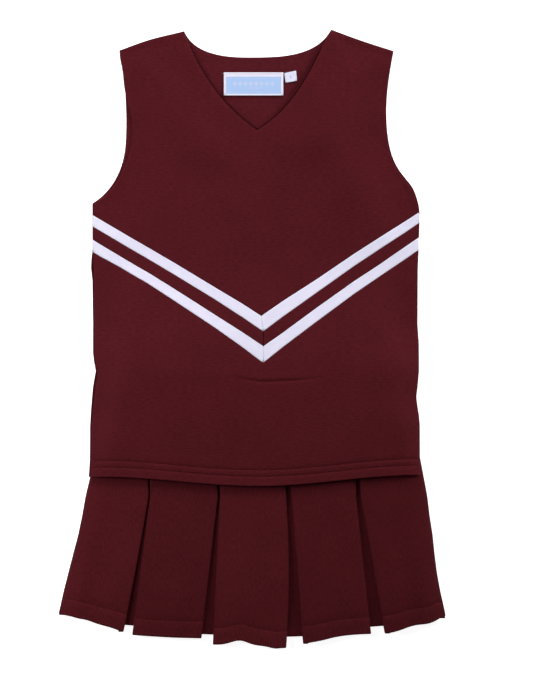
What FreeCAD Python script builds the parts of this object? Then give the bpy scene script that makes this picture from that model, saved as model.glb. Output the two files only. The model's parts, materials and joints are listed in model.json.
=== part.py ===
"""A child's two-piece cheer uniform laid flat: a sleeveless V-neck top over a pleated skirt.

The row frame has +X to the wearer's left as seen from the front, +Y from the skirt's hem to the
neck and +Z from the surface it lies on to the front of the garment. Every cloth piece is a
plate of its real outline. The top lies on the skirt's waistband, so its layers step up over it.
Lengths are in millimetres. Outlines are drawn from the garment's centre line, and the finished
pieces are moved together so that the origin is at the middle of the bottom of their box.
"""

import os

import FreeCAD
import Part

# Cloth and layers, from the surface upwards.
CLOTH = 1.0  # double-knit jersey
FACING_CLOTH = 0.8
LABEL_CLOTH = 0.4
SKIRT_ROOM = 5.0  # free height between the skirt's front and back
TOP_ROOM = 7.0  # free height between the top's front and back
MOVING_GAP = 0.3  # round a pleat that swings
LAY_GAP = 0.3  # between the skirt and the top

FOLD_DEPTH = 2 * CLOTH  # an underlay with its two returns
SIDE_STACK = CLOTH + MOVING_GAP + FOLD_DEPTH  # all the cloth of one side of the skirt
SKIRT_THICK = 2 * SIDE_STACK + SKIRT_ROOM
TOP_THICK = 2 * CLOTH + TOP_ROOM
TOP_LIFT = SKIRT_THICK + LAY_GAP  # how far the waistband raises the top

# Where the top steps up on to the waistband.
STEP_LOW_Y = -6.0
STEP_HIGH_Y = -36.0
FAR = 400.0  # past every outline

# The top.
SIDE_LEFT = -153.0
SIDE_RIGHT = 152.0
ARMPIT_LEFT = (SIDE_LEFT, 126.0)
ARMPIT_RIGHT = (SIDE_RIGHT, 122.0)
TIP_LEFT = (-128.0, 268.0)
TIP_RIGHT = (128.0, 268.0)
NECK_LEFT = (-67.0, 286.0)
NECK_RIGHT = (70.0, 288.0)
V_POINT = (1.0, 194.0)
FRONT_ARMHOLE_LEFT = [TIP_LEFT, (-122, 228), (-115, 194), (-120, 166), (-134, 140), ARMPIT_LEFT]
BACK_ARMHOLE_LEFT = [TIP_LEFT, (-122, 228), (-121, 194), (-124, 166), (-136, 141), ARMPIT_LEFT]
ARMHOLE_RIGHT = [ARMPIT_RIGHT, (145, 139), (130, 162), (122, 194), (122, 228), TIP_RIGHT]
V_RIGHT = [NECK_RIGHT, (61, 270), (47, 243), (25, 213), V_POINT]
V_LEFT = [V_POINT, (-26, 217), (-45, 241), (-57, 262), NECK_LEFT]
BACK_NECK = [NECK_RIGHT, (58, 274), (42, 266.5), (0, 262), (-42, 266), (-58, 274), NECK_LEFT]
HEM_LEFT = (SIDE_LEFT, -129.0)
HEM_RIGHT = (SIDE_RIGHT, -127.0)
TOP_HEM = [HEM_LEFT, (-97, -131), (-34, -137), (20, -138), (91, -131), HEM_RIGHT]
SEAM_WIDTH = 6.0
SHOULDER_SEAM_WIDTH = 7.0
HEM_ALLOWANCE = 18.0
HEM_CLOTH = 0.9
FACING_LOW_Y = 98.0
FACING_MIDDLE_Y = 140.0

# The chevron's edges, each from the left side seam to the centre seam to the right side seam.
CHEVRON_EDGES = [
    ((SIDE_LEFT, 115), (5, 22), (SIDE_RIGHT, 119)),
    ((SIDE_LEFT, 104), (7, 8), (SIDE_RIGHT, 109.5)),
    ((SIDE_LEFT, 91.5), (7, -6), (SIDE_RIGHT, 94.5)),
    ((SIDE_LEFT, 81), (7, -21), (SIDE_RIGHT, 84)),
]
CHEVRON_NAMES = ["upper_stripe", "middle_band", "lower_stripe"]

# The labels.
LABEL_X = (-30.0, 25.5)
LABEL_Y = (226.0, 248.0)
TAB_CORNERS = [(26.3, 247.3), (37.3, 249.6), (38.4, 239.8), (27.6, 237.9)]
LABEL_GAP = 0.2

# The skirt.
WAIST_X = (-139.0, 144.0)
WAIST_TOP_Y = -38.0
WAISTBAND_HEIGHT = 30.0
ELASTIC_WIDTH = 25.0
ELASTIC_CLOTH = 1.1
CASING_CLOTH = 1.0
YOKE_LOW_Y = -147.0  # where the stitched-down part of the pleats ends
YOKE_LOW_X = (-158.0, 159.0)
PLEAT_DEPTH = 26.0  # of each return under its panel
SKIRT_SEAM_WIDTH = 6.0
# Each panel's left and right edge at the yoke, and its hem from left to right.
PANELS = [
    ((-158, -100), [(-183, -256), (-154, -263), (-124, -273)]),
    ((-98.5, -35.5), [(-115, -276), (-83, -278), (-51, -279)]),
    ((-33.5, 28), [(-40, -285), (-8, -286), (28, -288)]),
    ((33, 93), [(44, -284), (72, -278), (107, -275)]),
    ((97.5, 159), [(120, -274), (147, -267), (176, -258)]),
]
# The hem's height at the left and right of each gap between two panels.
FOLD_HEMS = [(-266, -268), (-275, -276), (-278, -277), (-269, -267)]
MOVING_PANELS = (2, 3, 4)


def point(x, y, z=0.0):
    return FreeCAD.Vector(x, y, z)


def curve(points):
    """One smooth edge through the points."""
    spline = Part.BSplineCurve()
    spline.interpolate([point(*p) for p in points])
    return spline.toShape()


def line(points):
    """Straight edges from each point to the next."""
    return [Part.makeLine(point(*a), point(*b)) for a, b in zip(points, points[1:])]


def prism(edges, low, high):
    """The solid between two heights inside a closed outline."""
    face = Part.Face(Part.Wire(Part.__sortEdges__(edges)))
    face.translate(point(0, 0, low))
    return face.extrude(point(0, 0, high - low))


def plate(corners, low, high):
    """A prism with straight edges."""
    return prism(line([*corners, corners[0]]), low, high)


def stepped(low, high):
    """A sheet between two heights that steps up by TOP_LIFT on to the waistband, wide enough for any outline."""
    under = [(FAR, low), (STEP_LOW_Y, low), (STEP_HIGH_Y, low + TOP_LIFT), (-FAR, low + TOP_LIFT)]
    over = [(y, z + high - low) for y, z in reversed(under)]
    ring = [FreeCAD.Vector(-FAR, y, z) for y, z in under + over]
    face = Part.Face(Part.makePolygon(ring + ring[:1]))
    return face.extrude(point(2 * FAR, 0, 0))


def laid(edges, low, high):
    """A piece of the top, cut from a stepped sheet by its outline."""
    return stepped(low, high).common(prism(edges, -1, TOP_THICK + TOP_LIFT + 1))


def along(a, b, share):
    """The point a share of the way from a to b."""
    return tuple(p + (q - p) * share for p, q in zip(a, b))


def moved(points, x, y):
    """The points moved sideways and up."""
    return [(px + x, py + y) for px, py in points]


def front_upper_outline():
    """Above the chevron, with the V neck and the armholes."""
    return [
        *line(CHEVRON_EDGES[0]),
        *line([CHEVRON_EDGES[0][2], ARMPIT_RIGHT]),
        curve(ARMHOLE_RIGHT),
        *line([TIP_RIGHT, NECK_RIGHT]),
        curve(V_RIGHT),
        curve(V_LEFT),
        *line([NECK_LEFT, TIP_LEFT]),
        curve(FRONT_ARMHOLE_LEFT),
        *line([ARMPIT_LEFT, CHEVRON_EDGES[0][0]]),
    ]


def front_lower_outline():
    """From the chevron to the hem."""
    return [
        *line(CHEVRON_EDGES[3]),
        *line([CHEVRON_EDGES[3][2], HEM_RIGHT]),
        curve(TOP_HEM),
        *line([HEM_LEFT, CHEVRON_EDGES[3][0]]),
    ]


def back_outline():
    """The back is one piece."""
    return [
        *line([HEM_LEFT, ARMPIT_LEFT]),
        curve(BACK_ARMHOLE_LEFT),
        *line([TIP_LEFT, NECK_LEFT]),
        curve(BACK_NECK),
        *line([NECK_RIGHT, TIP_RIGHT]),
        curve(ARMHOLE_RIGHT),
        *line([ARMPIT_RIGHT, HEM_RIGHT]),
        curve(TOP_HEM),
    ]


def top_panels():
    """The cut pieces of the top that show from outside."""
    front_low, front_high = CLOTH + TOP_ROOM, TOP_THICK
    nodes = {
        "front_upper_panel": laid(front_upper_outline(), front_low, front_high),
        "front_lower_panel": laid(front_lower_outline(), front_low, front_high),
        "back_panel": laid(back_outline(), 0, CLOTH),
    }
    for name, above, below in zip(CHEVRON_NAMES, CHEVRON_EDGES, CHEVRON_EDGES[1:]):
        for side, outer in (("left", 0), ("right", 2)):
            ring = [above[outer], above[1], below[1], below[outer], above[outer]]
            nodes[f"chevron_{name}_{side}"] = laid(line(ring), front_low, front_high)
    return nodes


def shoulder_bands():
    """The strips along the shoulders that the seam allowances take up."""
    bands = {}
    for side, tip, neck in (("left", TIP_LEFT, NECK_LEFT), ("right", TIP_RIGHT, NECK_RIGHT)):
        ends = [along(tip, neck, -0.5), along(tip, neck, 1.5)]
        corners = [*ends, *moved(reversed(ends), 0, -SHOULDER_SEAM_WIDTH)]
        bands[f"shoulder_seam_{side}"] = plate(corners, CLOTH, CLOTH + TOP_ROOM)
    return bands


def shoulder_seams():
    """The allowances where front and back are joined at the shoulders, as one bar on each side."""
    low, high = CLOTH, CLOTH + TOP_ROOM
    both = prism(front_upper_outline(), low, high).common(prism(back_outline(), low, high))
    return {name: both.common(band) for name, band in shoulder_bands().items()}


def side_seams():
    """The allowances at the sides of the top, as one bar on each side."""
    seams = {}
    for side, edge, inward, pit in (
        ("left", SIDE_LEFT, SEAM_WIDTH, ARMPIT_LEFT),
        ("right", SIDE_RIGHT, -SEAM_WIDTH, ARMPIT_RIGHT),
    ):
        low_y, high_y = HEM_RIGHT[1], pit[1] - SEAM_WIDTH
        ring = [(edge, high_y), (edge + inward, high_y), (edge + inward, low_y), (edge, low_y)]
        seams[f"top_side_seam_{side}"] = laid(line([*ring, ring[0]]), CLOTH, CLOTH + TOP_ROOM)
    return seams


def facing(outline, low):
    """An all-in-one neck and armhole facing, between the seams."""
    left, right = SIDE_LEFT - SEAM_WIDTH, SIDE_RIGHT + SEAM_WIDTH
    foot = [(left, FACING_LOW_Y), (0, FACING_MIDDLE_Y), (right, FACING_LOW_Y)]
    above = [curve(foot), *line([foot[-1], (right, FAR), (left, FAR), foot[0]])]
    high = low + FACING_CLOTH
    shape = prism(outline, low, high).common(prism(above, low, high))
    for seam in [*shoulder_bands().values(), *side_seams().values()]:
        shape = shape.cut(seam)
    return shape


def hem_allowance():
    """The outline of the turned-up hem, between the side seams."""
    left, right = SIDE_LEFT + SEAM_WIDTH, SIDE_RIGHT - SEAM_WIDTH
    edge = [(left, HEM_LEFT[1]), *TOP_HEM[1:-1], (right, HEM_RIGHT[1])]
    raised = moved(edge, 0, HEM_ALLOWANCE)
    return [curve(edge), *line([edge[-1], raised[-1]]), curve(raised), *line([raised[0], edge[0]])]


def top_inside():
    """Facings, seam allowances and turned-up hems."""
    front_low = CLOTH + TOP_ROOM
    return {
        **shoulder_seams(),
        **side_seams(),
        "back_facing": facing(back_outline(), CLOTH),
        "front_facing": facing(front_upper_outline(), front_low - FACING_CLOTH),
        "top_back_hem": laid(hem_allowance(), CLOTH, CLOTH + HEM_CLOTH),
        "top_front_hem": laid(hem_allowance(), front_low - HEM_CLOTH, front_low),
    }


def labels():
    """The woven neck label and the size tab beside it, on the back facing."""
    low = CLOTH + FACING_CLOTH + LABEL_GAP
    (left, right), (bottom, top) = LABEL_X, LABEL_Y
    corners = [(left, bottom), (right, bottom), (right, top), (left, top)]
    return {
        "neck_label": plate(corners, low, low + LABEL_CLOTH),
        "size_tab": plate(TAB_CORNERS, low, low + LABEL_CLOTH),
    }


def flat_ring(margin, depth, y_low, y_high):
    """A loop of band laid flat: a slot-shaped tube of one thickness, set in from the waistband's outside."""
    left, right = WAIST_X[0] + margin, WAIST_X[1] - margin
    outer = slot(left, right, margin, SKIRT_THICK - margin, y_low, y_high)
    inner = slot(left + depth, right - depth, margin + depth, SKIRT_THICK - margin - depth, y_low, y_high)
    return outer.cut(inner)


def slot(left, right, low, high, y_low, y_high):
    """A bar along Y with flat sides and half-round ends."""
    radius, middle = (high - low) / 2, (high + low) / 2
    a, b = left + radius, right - radius
    edges = [
        Part.makeLine(point(a, y_low, low), point(b, y_low, low)),
        Part.Arc(point(b, y_low, low), point(right, y_low, middle), point(b, y_low, high)).toShape(),
        Part.makeLine(point(b, y_low, high), point(a, y_low, high)),
        Part.Arc(point(a, y_low, high), point(left, y_low, middle), point(a, y_low, low)).toShape(),
    ]
    return Part.Face(Part.Wire(edges)).extrude(point(0, y_high - y_low, 0))


def waist():
    """The casing, folded over at its top edge, and the elastic loop inside it."""
    low_y = WAIST_TOP_Y - WAISTBAND_HEIGHT
    casing = flat_ring(0, SIDE_STACK, low_y, WAIST_TOP_Y)
    channel = flat_ring(CASING_CLOTH, SIDE_STACK - 2 * CASING_CLOTH, low_y, WAIST_TOP_Y - 2 * CASING_CLOTH)
    clearance = (SIDE_STACK - 2 * CASING_CLOTH - ELASTIC_CLOTH) / 2
    elastic_top = WAIST_TOP_Y - 2 * CASING_CLOTH - 0.5
    elastic = flat_ring(CASING_CLOTH + clearance, ELASTIC_CLOTH, elastic_top - ELASTIC_WIDTH, elastic_top)
    return {"waistband": casing.cut(channel), "waist_elastic": elastic}


def yoke(low, high):
    """The hip part of one side, where the pleats are stitched down."""
    top_y = WAIST_TOP_Y - WAISTBAND_HEIGHT
    corners = [
        (WAIST_X[0], top_y),
        (WAIST_X[1], top_y),
        (YOKE_LOW_X[1], YOKE_LOW_Y),
        (YOKE_LOW_X[0], YOKE_LOW_Y),
    ]
    return plate(corners, low, high)


def pleat_panel(i, low, high):
    """One visible panel below the yoke, with room round the top of the ones that swing."""
    (left, right), hem = PANELS[i - 1]
    top_y = YOKE_LOW_Y - (MOVING_GAP if i in MOVING_PANELS else 0)
    return plate([(left, top_y), *hem, (right, top_y)], low, high)


def pleat_fold(i, under, turned):
    """The cloth behind the gap after panel i: an underlay, and a return under each panel's edge."""
    (_, left_x), left_hem = PANELS[i - 1]
    (right_x, _), right_hem = PANELS[i]
    top = ((left_x + right_x) / 2, WAIST_TOP_Y - WAISTBAND_HEIGHT)
    hem_left, hem_right = FOLD_HEMS[i - 1]
    left = [top, (left_x, YOKE_LOW_Y), (left_hem[-1][0], hem_left)]
    right = [(right_hem[0][0], hem_right), (right_x, YOKE_LOW_Y), top]
    far_left, far_right = moved(left, -PLEAT_DEPTH, 0), moved(right, PLEAT_DEPTH, 0)
    shape = plate([*far_left, *far_right], *under)
    shape = shape.fuse(plate([*far_left, *reversed(left)], *turned))
    return shape.fuse(plate([*far_right, *reversed(right)], *turned)).removeSplitter()


def skirt():
    """Front and back are alike: panels outside, folds inside."""
    nodes = waist()
    sides = {
        "back": {
            "panel": (0, CLOTH),
            "turned": (CLOTH + MOVING_GAP, 2 * CLOTH + MOVING_GAP),
            "under": (2 * CLOTH + MOVING_GAP, SIDE_STACK),
        },
        "front": {
            "panel": (SKIRT_THICK - CLOTH, SKIRT_THICK),
            "turned": (SKIRT_THICK - 2 * CLOTH - MOVING_GAP, SKIRT_THICK - CLOTH - MOVING_GAP),
            "under": (SKIRT_THICK - SIDE_STACK, SKIRT_THICK - 2 * CLOTH - MOVING_GAP),
        },
    }
    for side, heights in sides.items():
        nodes[f"{side}_yoke"] = yoke(*heights["panel"])
        for i in range(1, len(PANELS) + 1):
            nodes[f"{side}_pleat_{i}"] = pleat_panel(i, *heights["panel"])
        for i in range(1, len(FOLD_HEMS) + 1):
            nodes[f"{side}_pleat_fold_{i}"] = pleat_fold(i, heights["under"], heights["turned"])
    top_y = WAIST_TOP_Y - WAISTBAND_HEIGHT
    for side, waist_x, yoke_x, hem, inward in (
        ("left", WAIST_X[0], YOKE_LOW_X[0], PANELS[0][1][0], SKIRT_SEAM_WIDTH),
        ("right", WAIST_X[1], YOKE_LOW_X[1], PANELS[-1][1][-1], -SKIRT_SEAM_WIDTH),
    ):
        outer = [(waist_x, top_y), (yoke_x, YOKE_LOW_Y), hem]
        inner = [(x + inward, y) for x, y in reversed(outer)]
        seam = plate([*outer, *inner], CLOTH, SKIRT_THICK - CLOTH)
        nodes[f"skirt_side_seam_{side}"] = seam
    return nodes


def main():
    nodes = {**top_panels(), **top_inside(), **labels(), **skirt()}
    box = Part.makeCompound(list(nodes.values())).BoundBox
    shift = point(-box.Center.x, -box.Center.y, -box.ZMin)
    os.makedirs("parts", exist_ok=True)
    for name, shape in sorted(nodes.items()):
        shape.translate(shift)
        if not shape.isValid() or len(shape.Solids) != 1:
            raise ValueError(f"{name} isn't one valid solid")
        shape.Solids[0].exportStep(f"parts/{name}.step")
    print(f"{len(nodes)} nodes, origin moved by {shift.x:.3f}, {shift.y:.3f}, {shift.z:.3f} mm")
    print(f"box {box.XLength:.1f} x {box.YLength:.1f} x {box.ZLength:.1f} mm")


main()
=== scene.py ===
"""The looks of a child's two-piece cheer uniform laid flat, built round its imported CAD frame.

Every cloth piece is a closed sheet whose outline is read from its CAD node. Its height comes from
a few functions that say how the garment lies: flat on its back, closed down towards its seams and
stepped up on to the skirt's waistband. All lengths are in metres, in the row frame.
"""

import json
import math
from collections import Counter

import bpy
import numpy as np
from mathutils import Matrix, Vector, geometry

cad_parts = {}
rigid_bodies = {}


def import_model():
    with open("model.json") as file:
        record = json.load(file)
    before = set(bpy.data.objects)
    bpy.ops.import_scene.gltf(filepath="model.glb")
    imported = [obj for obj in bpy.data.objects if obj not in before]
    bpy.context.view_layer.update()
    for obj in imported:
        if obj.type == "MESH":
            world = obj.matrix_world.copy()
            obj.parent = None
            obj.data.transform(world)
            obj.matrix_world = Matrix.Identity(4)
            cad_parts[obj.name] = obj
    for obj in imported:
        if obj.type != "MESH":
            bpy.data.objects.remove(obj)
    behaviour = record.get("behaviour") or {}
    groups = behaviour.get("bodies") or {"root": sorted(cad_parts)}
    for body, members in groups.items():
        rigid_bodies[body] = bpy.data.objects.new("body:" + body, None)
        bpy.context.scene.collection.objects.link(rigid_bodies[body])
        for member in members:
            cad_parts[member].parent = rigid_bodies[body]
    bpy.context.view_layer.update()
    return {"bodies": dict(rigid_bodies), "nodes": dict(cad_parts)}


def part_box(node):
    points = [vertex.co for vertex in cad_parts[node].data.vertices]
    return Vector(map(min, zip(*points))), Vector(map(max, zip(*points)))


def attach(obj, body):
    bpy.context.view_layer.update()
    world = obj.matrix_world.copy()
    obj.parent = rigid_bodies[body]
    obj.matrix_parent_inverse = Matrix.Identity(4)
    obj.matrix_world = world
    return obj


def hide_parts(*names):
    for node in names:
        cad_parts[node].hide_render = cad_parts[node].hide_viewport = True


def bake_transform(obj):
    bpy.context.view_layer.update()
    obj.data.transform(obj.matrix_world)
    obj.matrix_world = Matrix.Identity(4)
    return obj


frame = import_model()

MM = 0.001
CLOTH = 1.0 * MM
FOLD_RADIUS = 0.75 * MM
NARROWEST_CUT = 10.5 * MM
EDGE_RINGS = (0.25 * MM, 0.6 * MM, 1.1 * MM, 2.0 * MM)


# ---- Curves and outlines ----


def smooth(t):
    """0 before 0, 1 after 1 and an easy slope between."""
    t = np.clip(t, 0, 1)
    return t * t * (3 - 2 * t)


def roll(t):
    """A quarter circle that rises steeply from 0 and levels out at 1."""
    t = np.clip(t, 0, 1)
    return np.sqrt(1 - (1 - t) ** 2)


def hill(t):
    """A soft ridge of height 1 at 0."""
    return np.exp(-t * t)


def ridge(at, height, width):
    """A soft ridge at 0, with its height and half width in mm."""
    return height * MM * hill(at / (width * MM))


def plan_outline(node):
    """A CAD plate's outline seen from above, anticlockwise, starting at its top left corner."""
    mesh = frame["nodes"][node].data
    spot = [(round(v.co.x, 6), round(v.co.y, 6)) for v in mesh.vertices]
    edges = set()
    for face in mesh.polygons:
        if face.normal.z < 0.3:
            continue
        ring = [spot[i] for i in face.vertices]
        for a, b in zip(ring, ring[1:] + ring[:1]):
            if (b, a) in edges:
                edges.remove((b, a))
            else:
                edges.add((a, b))
    follow = dict(edges)
    start = min(follow, key=lambda p: p[0] - 4 * p[1])
    loop = [start]
    while follow[loop[-1]] != start:
        loop.append(follow[loop[-1]])
    return np.array(loop)


def turns(loop):
    """How far the outline turns at each of its points, in radians."""
    back = loop - np.roll(loop, 1, 0)
    ahead = np.roll(loop, -1, 0) - loop
    a = np.arctan2(back[:, 1], back[:, 0])
    b = np.arctan2(ahead[:, 1], ahead[:, 0])
    return np.abs((b - a + math.pi) % (2 * math.pi) - math.pi)


def spaced(points, step):
    """An open line's points again, evenly spaced about a step apart."""
    points = np.asarray(points, float)
    lengths = np.linalg.norm(np.diff(points, axis=0), axis=1)
    far = np.concatenate([[0], np.cumsum(lengths)])
    count = max(1, int(round(far[-1] / step)))
    at = np.linspace(0, far[-1], count + 1)
    return np.stack([np.interp(at, far, points[:, k]) for k in range(points.shape[1])], 1)


def resampled(loop, step, corner=math.radians(24)):
    """A closed outline with evenly spaced points that keeps its corners and smooths its curves."""
    corners = np.flatnonzero(turns(loop) > corner)
    if len(corners) == 0:
        corners = np.array([0])
    out = []
    for a, b in zip(corners, np.roll(corners, -1)):
        stretch = loop[a : b + 1] if b > a else np.concatenate([loop[a:], loop[: b + 1]])
        part = spaced(stretch, step)
        for _ in range(6):
            part[1:-1] = (part[:-2] + 2 * part[1:-1] + part[2:]) / 4
        out.append(part[:-1])
    return np.concatenate(out)


def away(points, line, closed=True):
    """Each point's distance to a line."""
    ends = np.roll(line, -1, 0) if closed else line[1:]
    starts = line if closed else line[:-1]
    best = np.full(len(points), np.inf)
    for a, b in zip(starts, ends):
        d = b - a
        t = np.clip(((points - a) @ d) / max(d @ d, 1e-18), 0, 1)
        best = np.minimum(best, np.hypot(*(points - a - t[:, None] * d).T))
    return best


def inside(points, loop):
    """Which points are inside a closed outline."""
    found = np.zeros(len(points), bool)
    for (ax, ay), (bx, by) in zip(loop, np.roll(loop, -1, 0)):
        crosses = (ay > points[:, 1]) != (by > points[:, 1])
        if crosses.any():
            x = ax + (points[:, 1] - ay) * (bx - ax) / (by - ay if by != ay else 1e-12)
            found ^= crosses & (points[:, 0] < x)
    return found


def inward(loop):
    """Each point's unit normal towards the inside of an anticlockwise outline."""
    along = np.roll(loop, -1, 0) - np.roll(loop, 1, 0)
    normal = np.stack([-along[:, 1], along[:, 0]], 1)
    return normal / np.maximum(np.linalg.norm(normal, axis=1), 1e-12)[:, None]


def area_of(loop):
    x, y = loop.T
    return abs(np.dot(x, np.roll(y, -1)) - np.dot(y, np.roll(x, -1))) / 2


def cut_size(loop):
    """The width and length of the smallest rectangle that the outline can be cut from."""
    best = None
    for angle in np.radians(np.arange(0, 90, 1)):
        c, s = math.cos(angle), math.sin(angle)
        w, h = np.ptp(loop @ np.array([[c, -s], [s, c]]), axis=0)
        if best is None or w * h < best[0] * best[1]:
            best = (w, h)
    return tuple(max(float(v), NARROWEST_CUT) for v in sorted(best))


# ---- Meshes ----


def added(name, data):
    """A new object in the scene."""
    made = bpy.data.objects.new(name, data)
    bpy.context.scene.collection.objects.link(made)
    return made


def new_object(name, points, faces, uvs):
    """A smooth mesh object whose UV map holds each vertex's place on the flat cloth."""
    mesh = bpy.data.meshes.new(name)
    mesh.from_pydata([tuple(p) for p in points], [], faces)
    layer = mesh.uv_layers.new(name="cloth")
    corner = np.zeros(len(mesh.loops), int)
    mesh.loops.foreach_get("vertex_index", corner)
    layer.data.foreach_set("uv", np.asarray(uvs, np.float32)[corner].ravel())
    mesh.shade_smooth()
    mesh.validate()
    return added(name, mesh)


def normals_of(height, xy):
    """The unit normals of a height function."""
    e = 0.2 * MM
    dx = height(xy[:, 0] + e, xy[:, 1]) - height(xy[:, 0] - e, xy[:, 1])
    dy = height(xy[:, 0], xy[:, 1] + e) - height(xy[:, 0], xy[:, 1] - e)
    normal = np.stack([-dx / (2 * e), -dy / (2 * e), np.ones(len(xy))], 1)
    return normal / np.linalg.norm(normal, axis=1)[:, None]


def cloth(name, loop, height, thick=CLOTH, step=3.6 * MM, edge=1.0 * MM, bands=(), shift=None):
    """A closed sheet with rounded edges over an outline.

    bands are lines with finer points beside them. shift says how far each flat point lies to the side.
    """
    rim = resampled(np.asarray(loop, float), 2.4 * MM)
    normal = inward(rim)
    extra = []
    for ring in EDGE_RINGS:
        points = rim + normal * ring
        keep = inside(points, rim) & (away(points, rim) > 0.93 * ring)
        extra.append(points[keep])
    low, high = rim.min(0), rim.max(0)
    rows = np.arange(low[1], high[1], step * 0.866)
    grid = []
    for k, y in enumerate(rows):
        x = np.arange(low[0] + (k % 2) * step / 2, high[0], step)
        grid.append(np.stack([x, np.full(len(x), y)], 1))
    grid = np.concatenate(grid)
    clear = EDGE_RINGS[-1] + 0.4 * step
    grid = grid[inside(grid, rim) & (away(grid, rim) > clear)]
    for line, offsets in bands:
        line = spaced(line, 2.2 * MM)
        gap = away(grid, line, closed=False)
        grid = grid[gap > 0.45 * step]
        for offset in offsets:
            beside = line + np.array([0, offset])
            extra.append(beside[inside(beside, rim) & (away(beside, rim) > clear)])
            grid = grid[away(grid, beside, closed=False) > 0.3 * step]
    points = np.concatenate([rim, *extra, grid])
    flat, _, faces, *_ = geometry.delaunay_2d_cdt(
        [Vector(p) for p in points / MM], [], [list(range(len(rim)))], 1, 1e-5
    )
    flat = np.array([tuple(p) for p in flat]) * MM
    sides = Counter(frozenset(pair) for face in faces for pair in zip(face, face[1:] + face[:1]))
    used = sorted({i for face in faces for i in face})
    border = {i for pair, uses in sides.items() if uses == 1 for i in pair}
    middle = np.column_stack([flat, height(flat[:, 0], flat[:, 1])])
    if shift:
        middle[:, :2] += shift(flat[:, 0], flat[:, 1])
    half = thick / 2 * roll(away(flat, rim) / edge)
    offset = normals_of(height, flat) * half[:, None]
    upper = {i: n for n, i in enumerate(used)}
    lower = dict(upper)
    points = [middle[i] if i in border else middle[i] + offset[i] for i in used]
    uvs = [flat[i] for i in used]
    for i in used:
        if i not in border:
            lower[i] = len(points)
            points.append(middle[i] - offset[i])
            uvs.append(flat[i])
    shell = []
    for face in faces:
        a, b, c = face
        if np.cross(flat[b] - flat[a], flat[c] - flat[a]) < 0:
            a, b, c = a, c, b
        shell.append([upper[a], upper[b], upper[c]])
        shell.append([lower[a], lower[c], lower[b]])
    piece = new_object(name, points, shell, uvs)
    piece["flat_area"] = float(area_of(rim))
    piece["cut"] = list(cut_size(rim))
    return piece


def sheet_of_rows(name, rows, uvs, thick=CLOTH, edge=0.9 * MM):
    """A closed sheet with rounded edges over a grid of points, which may fold over itself."""
    rows, uvs = np.asarray(rows, float), np.asarray(uvs, float)
    across = np.gradient(rows, axis=1)
    down = np.gradient(rows, axis=0)
    normal = np.cross(across, down)
    normal /= np.maximum(np.linalg.norm(normal, axis=2), 1e-12)[..., None]
    steps_u = np.linalg.norm(np.diff(rows, axis=1), axis=2)
    steps_v = np.linalg.norm(np.diff(rows, axis=0), axis=2)
    u = np.concatenate([np.zeros((rows.shape[0], 1)), np.cumsum(steps_u, 1)], 1)
    v = np.concatenate([np.zeros((1, rows.shape[1])), np.cumsum(steps_v, 0)], 0)
    gap = np.minimum.reduce([u, u[:, -1:] - u, v, v[-1:] - v])
    half = np.broadcast_to(thick, gap.shape) / 2 * roll(gap / edge)
    count_v, count_u = gap.shape
    index = np.arange(count_v * count_u).reshape(count_v, count_u)
    upper = (rows - normal * half[..., None]).reshape(-1, 3)
    is_rim = np.ones(gap.shape, bool)
    is_rim[1:-1, 1:-1] = False
    other = index.copy()
    other[1:-1, 1:-1] = index.size + np.arange((count_v - 2) * (count_u - 2)).reshape(count_v - 2, -1)
    lower = (rows + normal * half[..., None])[1:-1, 1:-1].reshape(-1, 3)
    flat = uvs.reshape(-1, 2)
    inner = uvs[1:-1, 1:-1].reshape(-1, 2)
    faces = []
    corners = ((0, 0), (0, 1), (1, 1), (1, 0))
    for j, i in np.ndindex(count_v - 1, count_u - 1):
        a, b, c, d = (index[j + v_step, i + u_step] for v_step, u_step in corners)
        faces += [[a, d, c, b], [other[j + v_step, i + u_step] for v_step, u_step in corners]]
    piece = new_object(name, np.concatenate([upper, lower]), faces, np.concatenate([flat, inner]))
    sides = np.cross(across[:-1, :-1], down[:-1, :-1])
    piece["flat_area"] = float(np.linalg.norm(sides, axis=2).sum())
    piece["cut"] = sorted(max(float(far.max()), NARROWEST_CUT) for far in (u[:, -1], v[-1]))
    return piece


def stitches(name, line, pitch=2.9 * MM, length=2.1 * MM, radius=0.24 * MM):
    """A row of short thread stitches along a line of points, half sunk in the cloth."""
    line = spaced(line, pitch)
    points, faces, uvs = [], [], []
    rings = [(-0.5, 0.25), (-0.36, 0.8), (0, 1.0), (0.36, 0.8), (0.5, 0.25)]
    sides = 6
    for a, b in zip(line[:-1], line[1:]):
        along = (b - a) / np.linalg.norm(b - a)
        side = np.cross(along, [0, 0, 1.0])
        side /= np.linalg.norm(side)
        up = np.cross(side, along)
        first = len(points)
        for t, size in rings:
            centre = (a + b) / 2 + along * t * length
            for k in range(sides):
                angle = 2 * math.pi * k / sides
                points.append(centre + radius * size * (side * math.cos(angle) + up * math.sin(angle)))
                uvs.append((t, k / sides))
        for r in range(len(rings) - 1):
            for k in range(sides):
                p, q = first + r * sides + k, first + r * sides + (k + 1) % sides
                faces.append([p, q, q + sides, p + sides])
        faces.append([first + k for k in reversed(range(sides))])
        faces.append([first + (len(rings) - 1) * sides + k for k in range(sides)])
    return new_object(name, points, faces, uvs)


# ---- How the garment lies ----

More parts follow.
